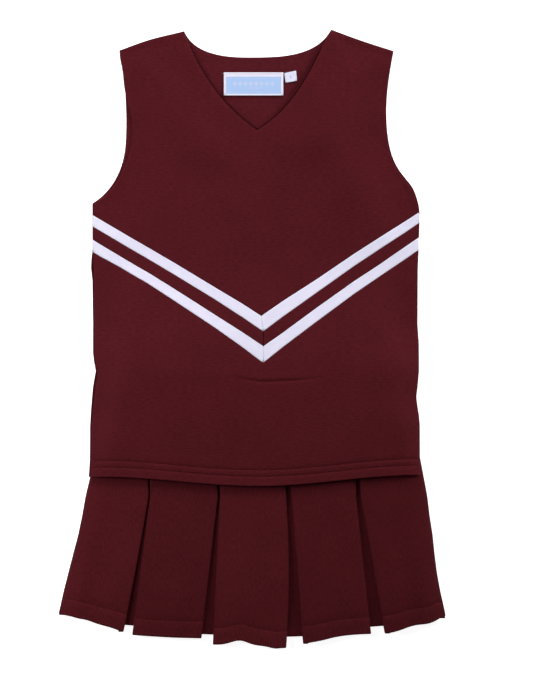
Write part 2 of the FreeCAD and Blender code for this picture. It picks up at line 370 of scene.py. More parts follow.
SIDE_LEFT, SIDE_RIGHT = (corner.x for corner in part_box("back_panel"))
CENTRE = (SIDE_LEFT + SIDE_RIGHT) / 2
ARMPIT_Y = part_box("top_side_seam_left")[1].y + 4 * MM
HEM_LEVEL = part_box("top_front_hem")[0].y
waist_low, waist_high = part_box("waistband")
SKIRT_THICK, WAIST_Y, WAISTBAND_LOW = waist_high.z, waist_high.y, waist_low.y
HINGE_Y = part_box("front_yoke")[0].y
SKIRT_HEM_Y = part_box("front_pleat_3")[0].y
SEAM_Z = 2.6 * MM
BACK_Z = 0.6 * MM
FACING_GAP = 0.95 * MM
HEM_GAP = 1.05 * MM
NECK_LEVEL = 150 * MM
NECK_HALF_WIDTH = 63 * MM
TOP_HEM_ROWS = (9 * MM, 15.2 * MM)
LIFT = SKIRT_THICK + 0.3 * MM
UPPER_LOOP = plan_outline("front_upper_panel")
FIRST_PANEL, LAST_PANEL = plan_outline("front_pleat_1"), plan_outline("front_pleat_5")


def free_edges():
    """The armholes, shoulders and neck of the front, as one open line."""
    start = int(np.argmin(np.where(UPPER_LOOP[:, 1] > ARMPIT_Y, UPPER_LOOP[:, 0], 1)))
    count = len(UPPER_LOOP)
    line = [UPPER_LOOP[(start - k) % count] for k in range(count)]
    return np.array([p for p in line if p[1] > ARMPIT_Y])


FREE_EDGE = free_edges()


def skirt_side(y, side):
    """The X of the skirt's side edge at a height."""
    if side < 0:
        waist, yoke, hem = waist_low.x, FIRST_PANEL[0], FIRST_PANEL[1]
    else:
        waist, yoke, hem = waist_high.x, LAST_PANEL[-1], LAST_PANEL[np.argmax(LAST_PANEL[:, 0])]
    return np.interp(y, [hem[1], yoke[1], WAISTBAND_LOW], [hem[0], yoke[0], waist])


def side_gap(x, y):
    """How far a point is inside the skirt's nearer side edge."""
    return np.minimum(x - skirt_side(y, -1), skirt_side(y, 1) - x)


def lift(x, y, run=60 * MM):
    """How far the skirt under it raises a layer of the top, over a run above the waistband."""
    up = smooth((WAIST_Y - 2 * MM + run - y) / run)
    edge = 0.45 + 0.55 * smooth((side_gap(x, y) + 14 * MM) / (30 * MM))
    return LIFT * up * edge


def swell(x, y):
    """Slow unevenness of cloth that has been smoothed by hand."""
    a = np.sin(x / (34 * MM) + 0.8 + y / (95 * MM)) * np.sin(y / (41 * MM) - 0.4 + x / (120 * MM))
    b = np.sin(x / (19 * MM) - y / (27 * MM) + 1.9) * np.sin(y / (23 * MM) + x / (60 * MM) + 0.5)
    return 0.55 * MM * a + 0.22 * MM * b


def edge_gap(x, y):
    """How far a point is from the front's armholes, shoulders and neck."""
    return away(np.stack([x, y], 1), FREE_EDGE, closed=False)


def seam_gap(x, y):
    """How far a point is from the top's nearer side seam, which ends at the armpit."""
    dx = np.minimum(x - SIDE_LEFT, SIDE_RIGHT - x)
    return np.hypot(dx, np.maximum(y - ARMPIT_Y, 0))


def crease(x, y):
    """The pinched line where the front goes over the waistband, a press line and a soft ridge above it."""
    across = (x - CENTRE - 18 * MM) / (40 * MM)
    middle = WAIST_Y - 1.5 * MM + 3.0 * MM * across**2
    pinch = ridge(y - middle - 4 * MM, 0.4, 2.6) - ridge(y - middle, 0.8, 1.2)
    press = ridge(x - CENTRE + 18 * MM, 0.3, 1.2) * hill((y - WAIST_Y - 8 * MM) / (9 * MM))
    soft = ridge(x - CENTRE + 50 * MM, 0.45, 28) * hill((y - WAIST_Y - 5 * MM) / (5 * MM))
    return pinch * smooth(1.3 - np.abs(across)) - press + soft


def finished_edge(free, neck):
    """The firm roll of a faced edge with a shallow dip beside it. The neckline's bends down instead."""
    rim = ridge(free - 1.6 * MM, 0.5, 1.6) - ridge(free - 5 * MM, 0.4, 1.6)
    return rim * (1 - neck) - neck * ridge(free, 0.7, 2.5)


def top_front(x, y):
    """Mid height of the top's front."""
    free, seam = edge_gap(x, y), seam_gap(x, y)
    neck = smooth((y - NECK_LEVEL) / (40 * MM)) * smooth(2.3 - np.abs(x - CENTRE) / (42 * MM))
    edge = 2.9 * MM + 2.6 * MM * neck
    right_neck = hill((x - CENTRE - 40 * MM) / (34 * MM)) * hill((y - 225 * MM) / (42 * MM))
    hem = smooth((y - HEM_LEVEL) / (75 * MM))
    middle = 4.4 * MM * smooth(free / (50 * MM)) * smooth(seam / (60 * MM) + 0.25) * (0.2 + 0.8 * hem)
    room = edge + middle + 2.6 * MM * right_neck + finished_edge(free, neck)
    room = room + swell(x, y) * smooth(free / (25 * MM)) * smooth(seam / (20 * MM)) * (0.4 + 0.6 * hem)
    near, tented = lift(x, y), lift(x, y, 125 * MM)
    flat = near + (tented - near) * smooth(seam / (45 * MM)) + room + crease(x, y)
    low = near + SEAM_Z
    return low + (flat - low) * roll(seam / (5 * MM))


# How far inside a straight side each layer's edge lies, as pairs of (height up, distance) in mm.
LEFT_REST = {
    "front": (
        (84, 0.9), (76, 1.6), (60, 1.9), (13, 2.4), (-13, 2.6), (-22, 3.6), (-31, 5.4),
        (-38, 5.0), (-46, 3.6), (-63, 1.6), (-80, 0.1), (-113, -0.2), (-129, -1.0),
    ),
    "back": (
        (82, 0.6), (74, -0.4), (66, -0.7), (54, 0.6), (13, 1.2), (-13, 1.2), (-21, 2.1),
        (-30, 3.9), (-38, 2.4), (-46, 1.1), (-63, -0.3), (-80, -1.4), (-113, -1.6), (-129, -2.6),
    ),
}
RIGHT_REST = (
    (110, -0.4), (80, 0.6), (66, 1.2), (13, 1.5), (-4, 0.3), (-29, 0.2), (-38, 0.9),
    (-46, 1.7), (-54, 2.7), (-63, 1.7), (-71, 0.3), (-80, -0.5), (-129, -0.6),
)
# How much higher than straight the chevron's four edges lie, in mm, at distances in mm from the centre.
CHEVRON_STATIONS = (-145, -126, -100, -75, -37, -12, 5, 25, 58, 92, 118, 140)
CHEVRON_REST = (
    (0.0, 0.3, 0.7, 0.8, 0.2, 0.0, -1.0, -0.3, -0.8, -0.1, -0.6, -1.0),
    (0.5, 1.0, 1.6, 1.7, 1.3, 0.0, -1.4, -0.3, 0.1, 0.4, -0.6, -1.6),
    (0.6, 1.0, 2.0, 1.7, 0.6, 0.0, -1.1, -1.0, 0.4, 1.0, 0.0, -0.1),
    (-0.3, 2.0, 3.7, 3.3, 2.3, 0.5, -1.6, 0.0, 1.0, 1.5, 0.3, -1.3),
)


def chevron_lines():
    """The chevron's four straight edges from the top down, each as left end, tip and right end."""
    lines = []
    edges = (("upper_stripe", max), ("upper_stripe", min), ("middle_band", min), ("lower_stripe", min))
    for part, take in edges:
        left, right = (plan_outline(f"chevron_{part}_{side}") for side in ("left", "right"))
        ends = []
        for loop, x in ((left, left[:, 0].min()), (left, left[:, 0].max()), (right, right[:, 0].max())):
            near = loop[np.abs(loop[:, 0] - x) < 4 * MM]
            ends.append(take(near, key=lambda p: p[1]))
        lines.append(np.array(ends))
    return lines


CHEVRON_LINES = chevron_lines()


def chevron_rise(x, y):
    """How much higher than it was cut the front lies beside its chevron."""
    stations = CENTRE + np.array(CHEVRON_STATIONS) * MM
    rises = [np.interp(x, stations, np.array(row) * MM) for row in CHEVRON_REST]
    heights = [np.interp(x, line[:, 0], line[:, 1]) for line in CHEVRON_LINES]
    fade = 45 * MM
    rise = rises[0] * smooth(1 - (y - heights[0]) / fade) * (y >= heights[0])
    rise = rise + rises[3] * smooth(1 - (heights[3] - y) / fade) * (y < heights[3])
    for k in range(3):
        share = (heights[k] - y) / (heights[k] - heights[k + 1])
        rise = rise + (rises[k] + (rises[k + 1] - rises[k]) * share) * ((share > 0) & (share <= 1))
    return rise


def settled(layer):
    """How far the front or back lies to the side of where it was cut."""

    def shift(x, y):
        left_y, left = np.array(sorted(LEFT_REST[layer])).T * MM
        right_y, right = np.array(sorted(RIGHT_REST)).T * MM
        aside = np.interp(y, left_y, left) * smooth(1 - (x - SIDE_LEFT) / (45 * MM))
        aside = aside - np.interp(y, right_y, right) * smooth(1 - (SIDE_RIGHT - x) / (45 * MM))
        aside = aside + ridge(y - 249 * MM, 2.2, 14) * smooth((CENTRE - 92 * MM - x) / (35 * MM))
        aside = aside + ridge(y - 142 * MM, 1.8, 10) * smooth(1 - (SIDE_RIGHT - x) / (50 * MM))
        up = ridge(x - CENTRE, 1.1, 90) * smooth((HEM_LEVEL + 50 * MM - y) / (45 * MM))
        shoulders = ridge(x - CENTRE + 98 * MM, 1.9, 24) - ridge(x - CENTRE - 98 * MM, 0.7, 24)
        up = up + shoulders * smooth((y - 225 * MM) / (45 * MM))
        if layer == "front":
            up = up + chevron_rise(x, y)
        return np.stack([aside, up], 1)

    return shift


def top_back(x, y):
    """Mid height of the top's back."""
    return lift(x, y) + BACK_Z + (SEAM_Z - BACK_Z) * (1 - roll(seam_gap(x, y) / (6 * MM)))


def hem_grooves(height):
    """A height with a shallow groove under each stitch row and a pucker between them."""

    def grooved(x, y):
        up = y - np.interp(x, HEM_LINE[:, 0], HEM_LINE[:, 1])
        dip = sum(hill((up - row) / (0.9 * MM)) for row in TOP_HEM_ROWS)
        pucker = np.sin(x / (1.9 * MM) + 2 * np.sin(x / (11 * MM))) * hill((up - 12 * MM) / (5 * MM))
        return height(x, y) - 0.5 * MM * dip + 0.12 * MM * pucker

    return grooved


def hem_line():
    """The top's hem from left to right."""
    loop = plan_outline("front_lower_panel")
    low = loop[loop[:, 1] < HINGE_Y + 20 * MM]
    return low[np.argsort(low[:, 0])]


HEM_LINE = hem_line()


# ---- Materials ----


class Nodes:
    """A material's node tree, with one call for each node."""

    def __init__(self, name):
        self.material = bpy.data.materials.new(name)
        self.material.use_nodes = True
        self.tree = self.material.node_tree
        self.tree.nodes.clear()
        self.shader = self.add("BsdfPrincipled")
        out = self.add("OutputMaterial")
        self.tree.links.new(self.shader.outputs[0], out.inputs[0])

    def join(self, value, socket):
        """Links a socket to another one, or gives it a plain value."""
        if isinstance(value, bpy.types.NodeSocket):
            self.tree.links.new(value, socket)
        else:
            socket.default_value = value

    def add(self, kind, inputs=(), **settings):
        node = self.tree.nodes.new("ShaderNode" + kind)
        for key, value in settings.items():
            setattr(node, key, value)
        for key, value in inputs.items() if isinstance(inputs, dict) else enumerate(inputs):
            self.join(value, node.inputs[key])
        return node

    def set(self, **values):
        for key, value in values.items():
            self.join(value, self.shader.inputs[key.replace("_", " ")])

    def math(self, operation, *values):
        return self.add("Math", values, operation=operation).outputs[0]

    def gap(self, a, b):
        return self.math("ABSOLUTE", self.math("SUBTRACT", a, b))

    def wave(self, value, period=1.0, kind="SINE"):
        return self.math(kind, self.math("MULTIPLY", value, 2 * math.pi / period))

    def place(self):
        """The place on the flat cloth, in millimetres, as a vector, its X and its Y."""
        flat = self.add("UVMap", uv_map="cloth").outputs[0]
        scaled = self.add("VectorMath", [flat, (1000, 1000, 1000)], operation="MULTIPLY").outputs[0]
        parts = self.add("SeparateXYZ", [scaled])
        return scaled, parts.outputs[0], parts.outputs[1]

    def noise(self, vector, scale, detail=2.0, stretch=(1, 1, 1)):
        moved = self.add("VectorMath", [vector, stretch], operation="MULTIPLY").outputs[0]
        return self.add("TexNoise", {"Vector": moved, "Scale": scale, "Detail": detail}).outputs[0]

    def remap(self, value, low, high, to_low=0, to_high=1):
        """A value's range from low to high, stretched over another range."""
        limits = {"From Min": low, "From Max": high, "To Min": to_low, "To Max": to_high}
        return self.add("MapRange", {"Value": value, **limits}).outputs[0]

    def mix(self, share, a, b):
        return self.add("Mix", {0: share, 6: a, 7: b}, data_type="RGBA").outputs[2]

    def bump(self, height, distance):
        node = self.add("Bump", {"Height": height, "Distance": distance, "Strength": 1.0})
        self.join(node.outputs[0], self.shader.inputs["Normal"])


def tint(rgb, share=1.0):
    """A linear colour from 0 to 255 display values, made lighter or darker by a share."""
    linear = []
    for c in rgb:
        c = c / 255
        linear.append(share * (c / 12.92 if c <= 0.04045 else ((c + 0.055) / 1.055) ** 2.4))
    return (*linear, 1.0)


def knit_height(n, x, y, wale=0.62, course=0.5):
    """Columns of V-shaped stitches of a fine double knit."""
    column = n.math("DIVIDE", x, wale)
    across = n.gap(n.math("FRACT", column), 0.5)
    slant = n.math("MULTIPLY_ADD", across, 1.1, n.math("DIVIDE", y, course))
    rows = n.wave(slant)
    groove = n.wave(column, kind="COSINE")
    return n.math("MULTIPLY_ADD", groove, 0.6, n.math("MULTIPLY", rows, 0.5))


def knit(name, colour, grain=(0.33, 1, 1), painted_brightness=1.0):
    """Matte double-knit jersey with slight slubs and lint. Its brightness share makes lighter or darker
    copies that paint light and shade.
    """
    n = Nodes(name)
    flat, x, y = n.place()
    slubs = n.noise(flat, 0.7, 3.0, grain)
    cloud = n.noise(flat, 0.028, 2.0)
    lint = n.noise(flat, 1.6, 2.0)
    uneven = n.math("MULTIPLY_ADD", cloud, 0.15, n.math("MULTIPLY", lint, 0.3))
    share = n.remap(n.math("MULTIPLY_ADD", slubs, 0.55, uneven), 0.32, 0.68)
    n.set(Base_Color=n.mix(share, tint(colour, painted_brightness * 0.7), tint(colour, painted_brightness * 1.3)))
    n.set(Roughness=n.remap(slubs, 0, 1, 0.74, 0.92), Sheen_Weight=0.2, Sheen_Roughness=0.3)
    n.set(Sheen_Tint=tint((235, 90, 105)), Specular_IOR_Level=0.12, Specular_Tint=tint((235, 130, 140)))
    fuzz = n.math("MULTIPLY", n.noise(flat, 2.4, 3.0), 0.8)
    slow = n.math("MULTIPLY", n.noise(flat, 0.3, 2.0), 1.6)
    n.bump(n.math("ADD", knit_height(n, x, y), n.math("ADD", fuzz, slow)), 0.07 * MM)
    return n.material


def white_knit():
    """White knit of the stripes, finely ribbed along its length."""
    n = Nodes("white_knit")
    flat, x, y = n.place()
    cloud = n.noise(flat, 0.06, 2.0)
    n.set(Base_Color=n.mix(cloud, tint((226, 222, 246)), tint((238, 235, 252))))
    n.set(Roughness=0.78, Sheen_Weight=0.15, Sheen_Roughness=0.4, Specular_IOR_Level=0.3)
    fuzz = n.math("MULTIPLY", n.noise(flat, 2.2, 3.0), 0.7)
    n.bump(n.math("ADD", knit_height(n, x, y), fuzz), 0.06 * MM)
    return n.material


def woven(name, colour):
    """A tight plain weave with a little satin gloss, for labels."""
    n = Nodes(name)
    flat, x, y = n.place()
    n.set(Base_Color=n.mix(n.noise(flat, 0.3, 2.0), tint(colour, 0.95), tint(colour, 1.05)))
    n.set(Roughness=0.5, Sheen_Weight=0.1, Specular_IOR_Level=0.4)
    n.bump(n.math("MULTIPLY", n.wave(x, 0.28), n.wave(y, 0.34)), 0.04 * MM)
    return n, x, y


def within(n, value, centre, half, soft=0.12):
    """1 where a value is within half of a centre, and 0 outside."""
    return n.remap(n.gap(value, centre), half - soft, half + soft, 1, 0)


def lower_edge_shadow(n, x, y, node, width):
    """1 within a width of the lower edge of a label, where its shadow is painted, and 0 above it."""
    loop = plan_outline(node) / MM
    a, b = loop[np.argsort(loop[:, 1])[:2]]
    a, b = (a, b) if a[0] < b[0] else (b, a)
    normal = np.array([a[1] - b[1], b[0] - a[0]]) / np.linalg.norm(b - a)
    along = n.math("MULTIPLY_ADD", y, float(normal[1]), n.math("MULTIPLY", x, float(normal[0])))
    return within(n, along, float(normal @ a), width, 0.1)


# Painted shadow: the dark line along the lower edges of the neck label and the size tab.
PAINTED_EDGE_SHADOW = (62, 34, 62)


def label_material():
    """White ribbon with a pale blue field, a faint row of diamonds, a short rule under it and a painted
    shadow along its lower edge.
    """
    n, x, y = woven("label_weave", (236, 232, 250))
    low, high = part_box("neck_label")
    cx, cy = (low.x + high.x) / 2 / MM, (low.y + high.y) / 2 / MM - 1.0
    half_w, half_h = (high.x - low.x) / 2 / MM - 2.1, (high.y - low.y) / 2 / MM - 3.1
    field = n.math("MULTIPLY", within(n, x, cx, half_w), within(n, y, cy, half_h))
    rule = n.math(
        "MULTIPLY",
        within(n, x, cx, half_w - 1.3),
        n.math("ADD", within(n, y, cy + half_h - 1.6, 0.22), within(n, y, cy - half_h + 1.6, 0.22)),
    )
    start = n.math("SUBTRACT", x, cx - 20)
    cell = n.math("SUBTRACT", n.math("FRACT", n.math("DIVIDE", start, 5.0)), 0.5)
    beside = n.math("ABSOLUTE", n.math("MULTIPLY", cell, 5.0))
    diamond = n.math("LESS_THAN", n.math("ADD", beside, n.gap(y, cy + 1.4)), 2.3)
    mark = n.math("MULTIPLY", diamond, within(n, x, cx, 20))
    short_rule = n.math("MULTIPLY", within(n, x, cx + 1, 7.5), within(n, y, cy - 2.6, 0.45))
    plain = n.shader.inputs["Base Color"].links[0].from_socket
    blue = n.mix(field, plain, tint((172, 202, 246)))
    ruled = n.mix(rule, blue, tint((188, 210, 248)))
    marked = n.mix(mark, ruled, tint((196, 210, 245)))
    marked = n.mix(short_rule, marked, tint((198, 204, 240)))
    # Painted shadow along the label's lower edge.
    n.set(Base_Color=n.mix(lower_edge_shadow(n, x, y, "neck_label", 0.55), marked, tint(PAINTED_EDGE_SHADOW)))
    return n.material


def tab_material():
    """White satin ribbon with a small faint mark and a painted shadow along its lower edge."""
    n, x, y = woven("tab_satin", (226, 226, 248))
    plain = n.shader.inputs["Base Color"].links[0].from_socket
    low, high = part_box("size_tab")
    across, along = n.gap(x, (low.x + high.x) / 2 / MM), n.gap(y, (low.y + high.y) / 2 / MM)
    mark = n.math("LESS_THAN", n.math("MULTIPLY_ADD", across, 2.0, along), 2.0)
    marked = n.mix(mark, plain, tint((196, 200, 242)))
    # Painted shadow along the tab's lower edge.
    n.set(Base_Color=n.mix(lower_edge_shadow(n, x, y, "size_tab", 0.5), marked, tint(PAINTED_EDGE_SHADOW)))
    return n.material


def thread(name, colour):
    """Twisted sewing thread."""
    n = Nodes(name)
    flat = n.add("UVMap", uv_map="cloth").outputs[0]
    parts = n.add("SeparateXYZ", [flat])
    twist = n.math("ADD", n.math("MULTIPLY", parts.outputs[0], 8), parts.outputs[1])
    ply = n.wave(twist)
    n.set(Base_Color=n.mix(n.remap(ply, -1, 1), tint(colour, 0.8), tint(colour, 1.15)))
    n.set(Roughness=0.8, Specular_IOR_Level=0.1, Specular_Tint=tint(colour, 3))
    n.bump(ply, 0.05 * MM)
    return n.material


def elastic_material():
    """Ribbed knitted elastic, seen only inside the casing."""
    n = Nodes("elastic")
    place = n.add("TexCoord").outputs["Object"]
    parts = n.add("SeparateXYZ", [place])
    ribs = n.wave(parts.outputs[1], 1.6 * MM)
    n.set(Base_Color=n.mix(n.remap(ribs, -1, 1), tint((205, 202, 196)), tint((232, 230, 224))))
    n.set(Roughness=0.7)
    n.bump(ribs, 0.15 * MM)
    return n.material


def floor_material():
    """Seamless white studio paper."""
    n = Nodes("studio_floor")
    place = n.add("TexCoord").outputs["Object"]
    grain = n.noise(place, 40.0, 2.0)
    n.set(Base_Color=n.mix(grain, (0.93, 0.93, 0.935, 1), (0.95, 0.95, 0.95, 1)), Roughness=0.9)
    n.set(Emission_Color=(1, 1, 1, 1), Emission_Strength=0.9)
    return n.material


# The looks of the pieces, as a material and its slot.
SKIRT_COLOUR = (75, 22.5, 27.8)
DOWN_GRAIN = (1, 0.35, 1)
# Painted light: each skirt panel's knit is a lighter or darker copy of the skirt knit, standing in for how
# the lamps light that panel.
PANEL_PAINTED_LIGHT = {1: 1.14, 2: 1.01, 3: 1.10, 4: 1.02, 5: 1.0}
TOP_KNIT = knit("maroon_knit_top", (80, 24.5, 30.5)), "maroon_knit"
SKIRT_KNIT = knit("maroon_knit_skirt", SKIRT_COLOUR, DOWN_GRAIN), "maroon_knit"
INSIDE_KNIT = knit("maroon_inside", (82, 25.5, 33)), "maroon_inside"
# Painted shade: a darker copy of the skirt knit for the cloth deep in the pleat gaps and the skirt's seam
# allowances.
FOLD_SHADED_KNIT = knit("maroon_fold_painted_shade", (72, 21, 26), DOWN_GRAIN), "maroon_inside"
PANEL_PAINTED_LIGHT_KNITS = {
    i: (knit(f"maroon_knit_painted_light_panel_{i}", SKIRT_COLOUR, DOWN_GRAIN, painted_brightness), "maroon_knit")
    for i, painted_brightness in PANEL_PAINTED_LIGHT.items()
}
WHITE_KNIT = white_knit(), "white_knit"
LABEL = label_material(), "label_weave"
TAB = tab_material(), "tab_satin"
MAROON_THREAD = thread("maroon_thread", (66, 18, 24)), "maroon_knit"
WHITE_THREAD = thread("white_thread", (230, 228, 246)), "label_weave"
# Near-black thread: painted shadow in the neckline's understitch rows, and the dark joint of the chevron's
# mitre seam.
SEAM_AND_SHADOW_THREAD = thread("seam_and_shadow_thread", (34, 8, 12))
ELASTIC = elastic_material()


# ---- Putting pieces in place ----


def finish_piece(piece, look, body=None, replaces=()):
    material, slot = look
    piece.data.materials.append(material)
    if body:
        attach(piece, body)
    if replaces:
        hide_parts(*replaces)


def add_cloth(name, node, height, look, body, rests_on, *sizes, **options):
    """Makes the cloth of a CAD plate. sizes are its thickness, its grid's step and its edge's width."""
    piece = cloth(name, plan_outline(node), height, *sizes, **options)
    finish_piece(piece, look, body, [node])


def over(height, gap):
    """A surface's height, raised by a gap."""
    return lambda x, y: height(x, y) + gap


def above(line, height, up):
    """A plan line as points on a surface, raised by a little."""
    line = np.asarray(line, float)
    return np.column_stack([line, height(line[:, 0], line[:, 1]) + up])


def build_top():
    """Front, chevron, back and everything inside the top."""
    grooved = hem_grooves(top_front)
    beside_rows = [row + d * MM for row in TOP_HEM_ROWS for d in (-1.4, -0.7, 0, 0.7, 1.4)]
    waist_line = np.array([(SIDE_LEFT + 8 * MM, WAIST_Y), (SIDE_RIGHT - 8 * MM, WAIST_Y)])
    beside_waist = [d * MM for d in (-4, -2.8, -1.8, -0.9, 0, 0.9, 1.8, 3.2, 5)]
    front, rear = settled("front"), settled("back")

    def add(name, node, height, look, rests_on, *sizes, shift=front, **options):
        add_cloth(name, node, height, look, "top", rests_on, *sizes, shift=shift, **options)

    add("front_upper", "front_upper_panel", top_front, TOP_KNIT, ["back_facing"], edge=1.3 * MM)
    bands = [(HEM_LINE, beside_rows), (waist_line, beside_waist)]
    add("front_lower", "front_lower_panel", grooved, TOP_KNIT, ["waistband"], bands=bands)
    sizes = (1.2 * MM, 2.6 * MM, 0.55 * MM)
    parts = (("upper_stripe", WHITE_KNIT), ("middle_band", TOP_KNIT), ("lower_stripe", WHITE_KNIT))
    for part, look in parts:
        for side in ("left", "right"):
            add(f"{part}_{side}", f"chevron_{part}_{side}", top_front, look, ["back_panel"], *sizes)
    add("back", "back_panel", top_back, TOP_KNIT, [], edge=1.3 * MM, shift=rear)

    back, inside_front = over(top_back, FACING_GAP), over(top_front, -FACING_GAP)
    add("neck_facing_back", "back_facing", back, INSIDE_KNIT, ["back_panel"], shift=rear)
    add("neck_facing_front", "front_facing", inside_front, INSIDE_KNIT, ["back_facing"], 0.8 * MM)
    middle = lambda x, y: (top_front(x, y) + top_back(x, y)) / 2
    sizes = (0.9 * MM, 3 * MM, 0.5 * MM)
    for side in ("left", "right"):
        for node in (f"shoulder_seam_{side}", f"top_side_seam_{side}"):
            add(f"{node}_allowance", node, middle, INSIDE_KNIT, ["back_panel"], *sizes)
    for node, height, shift in (
        ("top_front_hem", over(top_front, -HEM_GAP), front),
        ("top_back_hem", over(top_back, HEM_GAP), rear),
    ):
        add(f"{node}_turned_up", node, height, INSIDE_KNIT, ["back_panel"], shift=shift)

    for k, row in enumerate(TOP_HEM_ROWS):
        line = above(spaced(HEM_LINE + np.array([0, row]), 2 * MM)[1:-1], grooved, CLOTH / 2)
        line[:, :2] += front(line[:, 0], line[:, 1])
        finish_piece(stitches(f"top_hem_stitches_{k + 1}", line), MAROON_THREAD, "top")


def build_seam_lines():
    """Near-black understitch rows under the neckline's edges, which paint the shadow there, and the
    chevron's mitre seam.
    """
    out = -inward(UPPER_LOOP)
    neck = (np.abs(UPPER_LOOP[:, 0] - CENTRE) < NECK_HALF_WIDTH) & (UPPER_LOOP[:, 1] > NECK_LEVEL)
    line = UPPER_LOOP[neck] + 0.4 * MM * out[neck]
    tip = int(np.argmin(line[:, 1]))
    # The right row is thicker to paint the broader shadow under the right neck edge.
    for word, part, radius in (("right", line[: tip + 1], 0.65 * MM), ("left", line[tip:], 0.35 * MM)):
        thread_line = above(spaced(part, 2 * MM), top_front, -0.7 * MM)
        piece = stitches(f"neck_shadow_understitch_{word}", thread_line, 2.6 * MM, 2.5 * MM, radius)
        finish_piece(piece, (SEAM_AND_SHADOW_THREAD, "maroon_inside"), "top")
    band = plan_outline("chevron_middle_band_left")
    end = band[band[:, 0] > band[:, 0].max() - 0.5 * MM]
    mitre = [(end[:, 0].max(), end[:, 1].max()), (end[:, 0].max(), end[:, 1].min())]
    mitre_line = above(spaced(mitre, 1 * MM), top_front, CLOTH / 2)
    mitre_line[:, :2] += settled("front")(mitre_line[:, 0], mitre_line[:, 1])
    piece = stitches("chevron_mitre", mitre_line, 2.4 * MM, 2.3 * MM, 0.25 * MM)
    finish_piece(piece, (SEAM_AND_SHADOW_THREAD, "maroon_knit"), "top")


def label_height(x, y):
    """The label lies on the facing and its free edge lifts a little."""
    low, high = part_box("neck_label")
    free = smooth((high.y - y) / (high.y - low.y))
    side = (x - (low.x + high.x) / 2) / (high.x - low.x)
    return top_back(x, y) + 1.75 * MM + 0.9 * MM * free * (0.6 + side * side * 2)


def build_labels():
    """The woven neck label and its size tab."""
    below = ["back_facing"]
    sizes = (0.45 * MM, 2.4 * MM, 0.3 * MM)
    add_cloth("neck_label_woven", "neck_label", label_height, LABEL, "label", below, *sizes)
    sizes = (0.7 * MM, 1.6 * MM, 0.35 * MM)
    add_cloth("size_tab_folded", "size_tab", over(label_height, -0.1 * MM), TAB, "tab", below, *sizes)
    low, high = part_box("neck_label")
    row = high.y - 1.1 * MM
    line = spaced([(low.x - 1.5 * MM, row), (high.x - 1 * MM, row)], 1 * MM)
    piece = stitches("label_stitches", above(line, label_height, 0.3 * MM), 2.2 * MM, 1.6 * MM, 0.16 * MM)
    finish_piece(piece, WHITE_THREAD, "label")


# ---- The skirt ----

PLEAT_STITCH_ROW = 15.5 * MM
BACK_PANEL_Z = 0.55 * MM
PANEL_Z = SKIRT_THICK - BACK_PANEL_Z
SEAM_Z_SKIRT = SKIRT_THICK / 2
FOLD_STEP = 2 * FOLD_RADIUS
OPEN_EDGE = 5 * MM
SHOWN_UNDERLAY = 8 * MM
# How far a panel's side edge lies to the right of a straight line, in mm, at even steps below its hinge.
BOWS = {
    (1, "left"): (-0.8, 0.2, 0.6, 0, -0.5, -0.9, -0.8, -0.5, -0.3),
    (1, "right"): (0, 0.4, 0.7, 0.9, 1.0, 0.9, 0.7, 0.4, 0),
    (3, "right"): (0, 1.0, 1.85, 2.4, 2.6, 2.4, 1.85, 1.0, 0),
    (5, "right"): (0.7, 0.0, 0.1, -0.8, -1.3, -0.8, 0.5, 0.8, 0.9),
}
HEM_WAVES = {
    1: [(0.0, 0.2, -1.4), (0.24, 0.1, -1.0), (0.55, 0.22, -1.4)],
    3: [(0.36, 0.17, 4.6), (0.66, 0.1, 0.4), (0.86, 0.08, -1.2)],
    4: [(0.25, 0.2, -1.0)],
    5: [(0.85, 0.25, -3.6), (0.2, 0.25, -1.2)],
}
RIDGES = {
    1: [(0.24, 0.12, 2.2), (0.72, 0.14, 1.2)],
    2: [(0.16, 0.10, 0.9), (0.58, 0.15, 2.0)],
    3: [(0.18, 0.12, 0.8), (0.50, 0.12, 2.3), (0.86, 0.10, 1.0)],
    4: [(0.30, 0.16, 1.5), (0.78, 0.12, 1.2)],
    5: [(0.26, 0.14, 1.4), (0.70, 0.14, 1.8)],
}


def pleat_lines(side, i):
    """Panel i's left edge and right edge from the waistband down, and its hem from left to right."""
    loop = plan_outline(f"{side}_pleat_{i}")
    waist = waist_splits(side)
    left = np.array([(waist[i - 1], WAISTBAND_LOW), loop[0], loop[1]])
    right = np.array([(waist[i], WAISTBAND_LOW), loop[-1], loop[-2]])
    return left, right, loop[1:-1]


def fold_ends(side, g):
    """The outermost points of a pleat fold at its waistband end and at its hem, each as left and right."""
    spots = np.array([v.co[:2] for v in frame["nodes"][f"{side}_pleat_fold_{g}"].data.vertices])
    ends = []
    for rows in (spots[:, 1] > spots[:, 1].max() - 0.1 * MM, spots[:, 1] < spots[:, 1].min() + 5 * MM):
        end = spots[rows]
        ends.append((end[np.argmin(end[:, 0])], end[np.argmax(end[:, 0])]))
    return ends


def waist_splits(side):
    """Where the panels meet at the waistband, from left to right."""
    middles = [(a[0] + b[0]) / 2 for a, b in (fold_ends(side, g)[0] for g in range(1, 5))]
    return [waist_low.x, *middles, waist_high.x]


def rows_down(length, hem_rows=True):
    """Distances from a sheet's top edge down to its hem, closer together where it bends."""
    fine = [0, 0.3, 0.9, 2.0]
    if hem_rows:
        row = PLEAT_STITCH_ROW / MM
        fine += [row + d for d in (-1.6, -0.8, 0, 0.8, 1.6)]
    base = list(np.arange(4.5, length / MM - 2, 4.5))
    base = [b for b in base if all(abs(b - f) > 1.2 for f in fine)]
    up = sorted(set(fine + base))
    down = sorted({length - u * MM for u in up} | {0, 0.3 * MM, 0.9 * MM, 2 * MM})
    return np.array([d for d in down if d >= 0])


def edge_at(line, y):
    """A side line's X at heights, in a line that runs down."""
    return np.interp(y, line[::-1, 1], line[::-1, 0])


